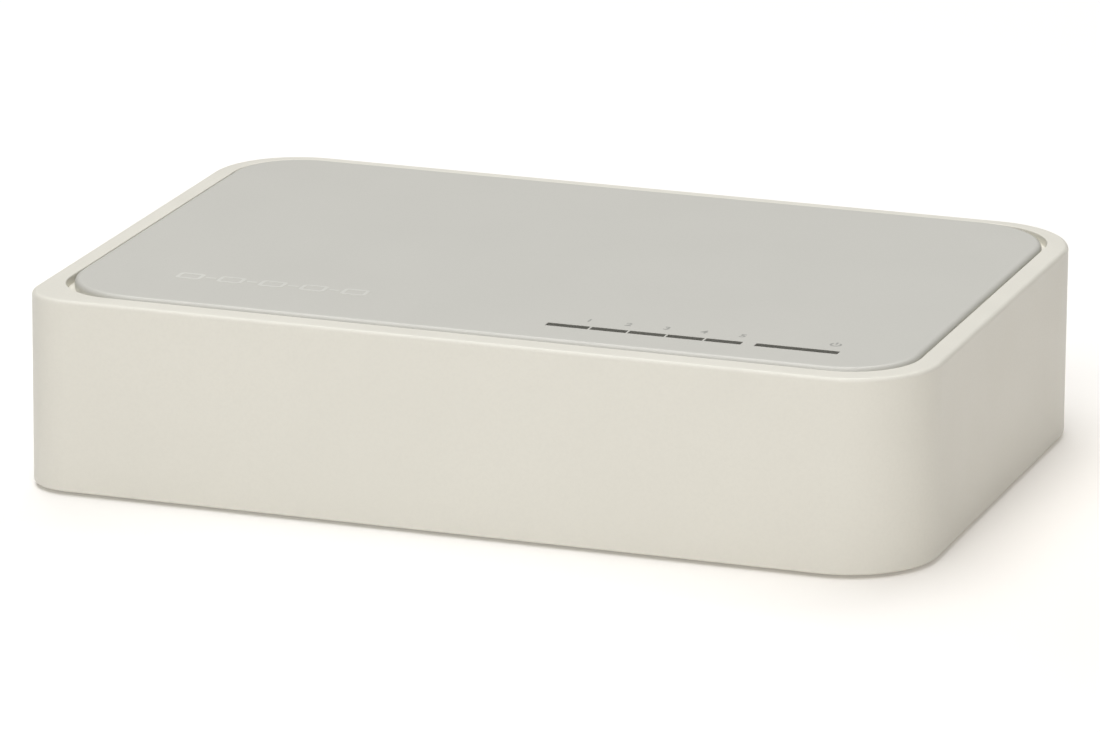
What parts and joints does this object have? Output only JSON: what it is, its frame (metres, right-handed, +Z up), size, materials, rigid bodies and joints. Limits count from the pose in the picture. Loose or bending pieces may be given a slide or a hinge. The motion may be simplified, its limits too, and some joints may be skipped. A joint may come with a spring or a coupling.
{
  "type": "desktop network switch",
  "caption": "Small flat desktop network switch: rounded ivory case, inset grey top panel with status bars near the front edge, row of modular sockets and a barrel power inlet at the rear.",
  "frame": {"origin": "centre of the case's outline, on the plane its feet stand on", "axes": "+X to the right when facing the status bars, -Y the front with the status bars, +Y the rear with the sockets, +Z up"},
  "size_m": [0.1036, 0.07, 0.0227],
  "materials": {
    "black_screws": "black zinc",
    "board": "green solder mask",
    "capacitor_can": "bare aluminium can",
    "ceramic_tan": "sintered ceramic",
    "chip_black": "moulding compound",
    "crystal_can": "drawn can",
    "ferrite": "ferrite",
    "gold_contacts": "gold plated phosphor bronze",
    "grey_panel": "light neutral grey, satin",
    "inlet_black": "black thermoplastic",
    "insert_black": "black glass-filled nylon",
    "ivory_base": "warm ivory ABS, spark texture, matt",
    "ivory_shell": "warm ivory ABS, fine spark texture, satin",
    "jack_black": "black thermoplastic, matt",
    "label": "silver polyester film, blank",
    "led_lens": "diffused epoxy",
    "nickel_pin": "nickel plated",
    "rubber_feet": "dark grey moulded rubber",
    "smoked_bars": "smoked clear moulding, polished",
    "tinned_leads": "tin plated",
    "zinc_screws": "bright zinc"
  },
  "bodies": {
    "root": {"case_screws": "black_screws", "crystal": "crystal_can", "dc_jack_body": "inlet_black", "dc_jack_pin": "nickel_pin", "dc_jack_terminal": "tinned_leads", "foot_front_left": "rubber_feet", "foot_front_right": "rubber_feet", "foot_rear_left": "rubber_feet", "foot_rear_right": "rubber_feet", "input_capacitor_base": "jack_black", "input_capacitor_can": "capacitor_can", "jack_housing": "jack_black", "led_1": "led_lens", "led_2": "led_lens", "led_3": "led_lens", "led_4": "led_lens", "led_5": "led_lens", "led_power": "led_lens", "light_guide": "smoked_bars", "lower_shell": "ivory_base", "magnetics_1": "chip_black", "magnetics_2": "chip_black", "magnetics_3": "chip_black", "magnetics_4": "chip_black", "magnetics_5": "chip_black", "magnetics_leads": "tinned_leads", "output_capacitor_base": "jack_black", "output_capacitor_can": "capacitor_can", "pcb": "board", "pcb_screws": "zinc_screws", "port_1_insert": "insert_black", "port_1_leads": "gold_contacts", "port_2_insert": "insert_black", "port_2_leads": "gold_contacts", "port_3_insert": "insert_black", "port_3_leads": "gold_contacts", "port_4_insert": "insert_black", "port_4_leads": "gold_contacts", "port_5_insert": "insert_black", "port_5_leads": "gold_contacts", "power_inductor": "ferrite", "protection_diode": "chip_black", "rating_label": "label", "regulator_chip": "chip_black", "smd_capacitors": "ceramic_tan", "smd_resistors": "chip_black", "switch_chip": "chip_black", "switch_chip_leads": "tinned_leads", "top_panel": "grey_panel", "upper_shell": "ivory_shell"},
    "port_1_contacts": {"port_1_springs": "gold_contacts"},
    "port_2_contacts": {"port_2_springs": "gold_contacts"},
    "port_3_contacts": {"port_3_springs": "gold_contacts"},
    "port_4_contacts": {"port_4_springs": "gold_contacts"},
    "port_5_contacts": {"port_5_springs": "gold_contacts"},
    "inlet_blade": {"dc_jack_spring": "tinned_leads"}
  },
  "joints": [
    {"name": "port_1_contact_lift", "type": "hinge", "parent": "root", "child": "port_1_contacts", "pos_m": [-0.03244, 0.0334, 0.017], "axis": [-1, 0, 0], "range_deg": [0, 11], "stiffness_Nm_per_rad": 0.12},
    {"name": "port_2_contact_lift", "type": "hinge", "parent": "root", "child": "port_2_contacts", "pos_m": [-0.01847, 0.0334, 0.017], "axis": [-1, 0, 0], "range_deg": [0, 11], "stiffness_Nm_per_rad": 0.12},
    {"name": "port_3_contact_lift", "type": "hinge", "parent": "root", "child": "port_3_contacts", "pos_m": [-0.0045, 0.0334, 0.017], "axis": [-1, 0, 0], "range_deg": [0, 11], "stiffness_Nm_per_rad": 0.12},
    {"name": "port_4_contact_lift", "type": "hinge", "parent": "root", "child": "port_4_contacts", "pos_m": [0.00947, 0.0334, 0.017], "axis": [-1, 0, 0], "range_deg": [0, 11], "stiffness_Nm_per_rad": 0.12},
    {"name": "port_5_contact_lift", "type": "hinge", "parent": "root", "child": "port_5_contacts", "pos_m": [0.02344, 0.0334, 0.017], "axis": [-1, 0, 0], "range_deg": [0, 11], "stiffness_Nm_per_rad": 0.12},
    {"name": "inlet_blade_press", "type": "hinge", "parent": "root", "child": "inlet_blade", "pos_m": [0.0372, 0.0265, 0.0073], "axis": [-1, 0, 0], "range_deg": [0, 4.5], "stiffness_Nm_per_rad": 0.06}
  ]
}
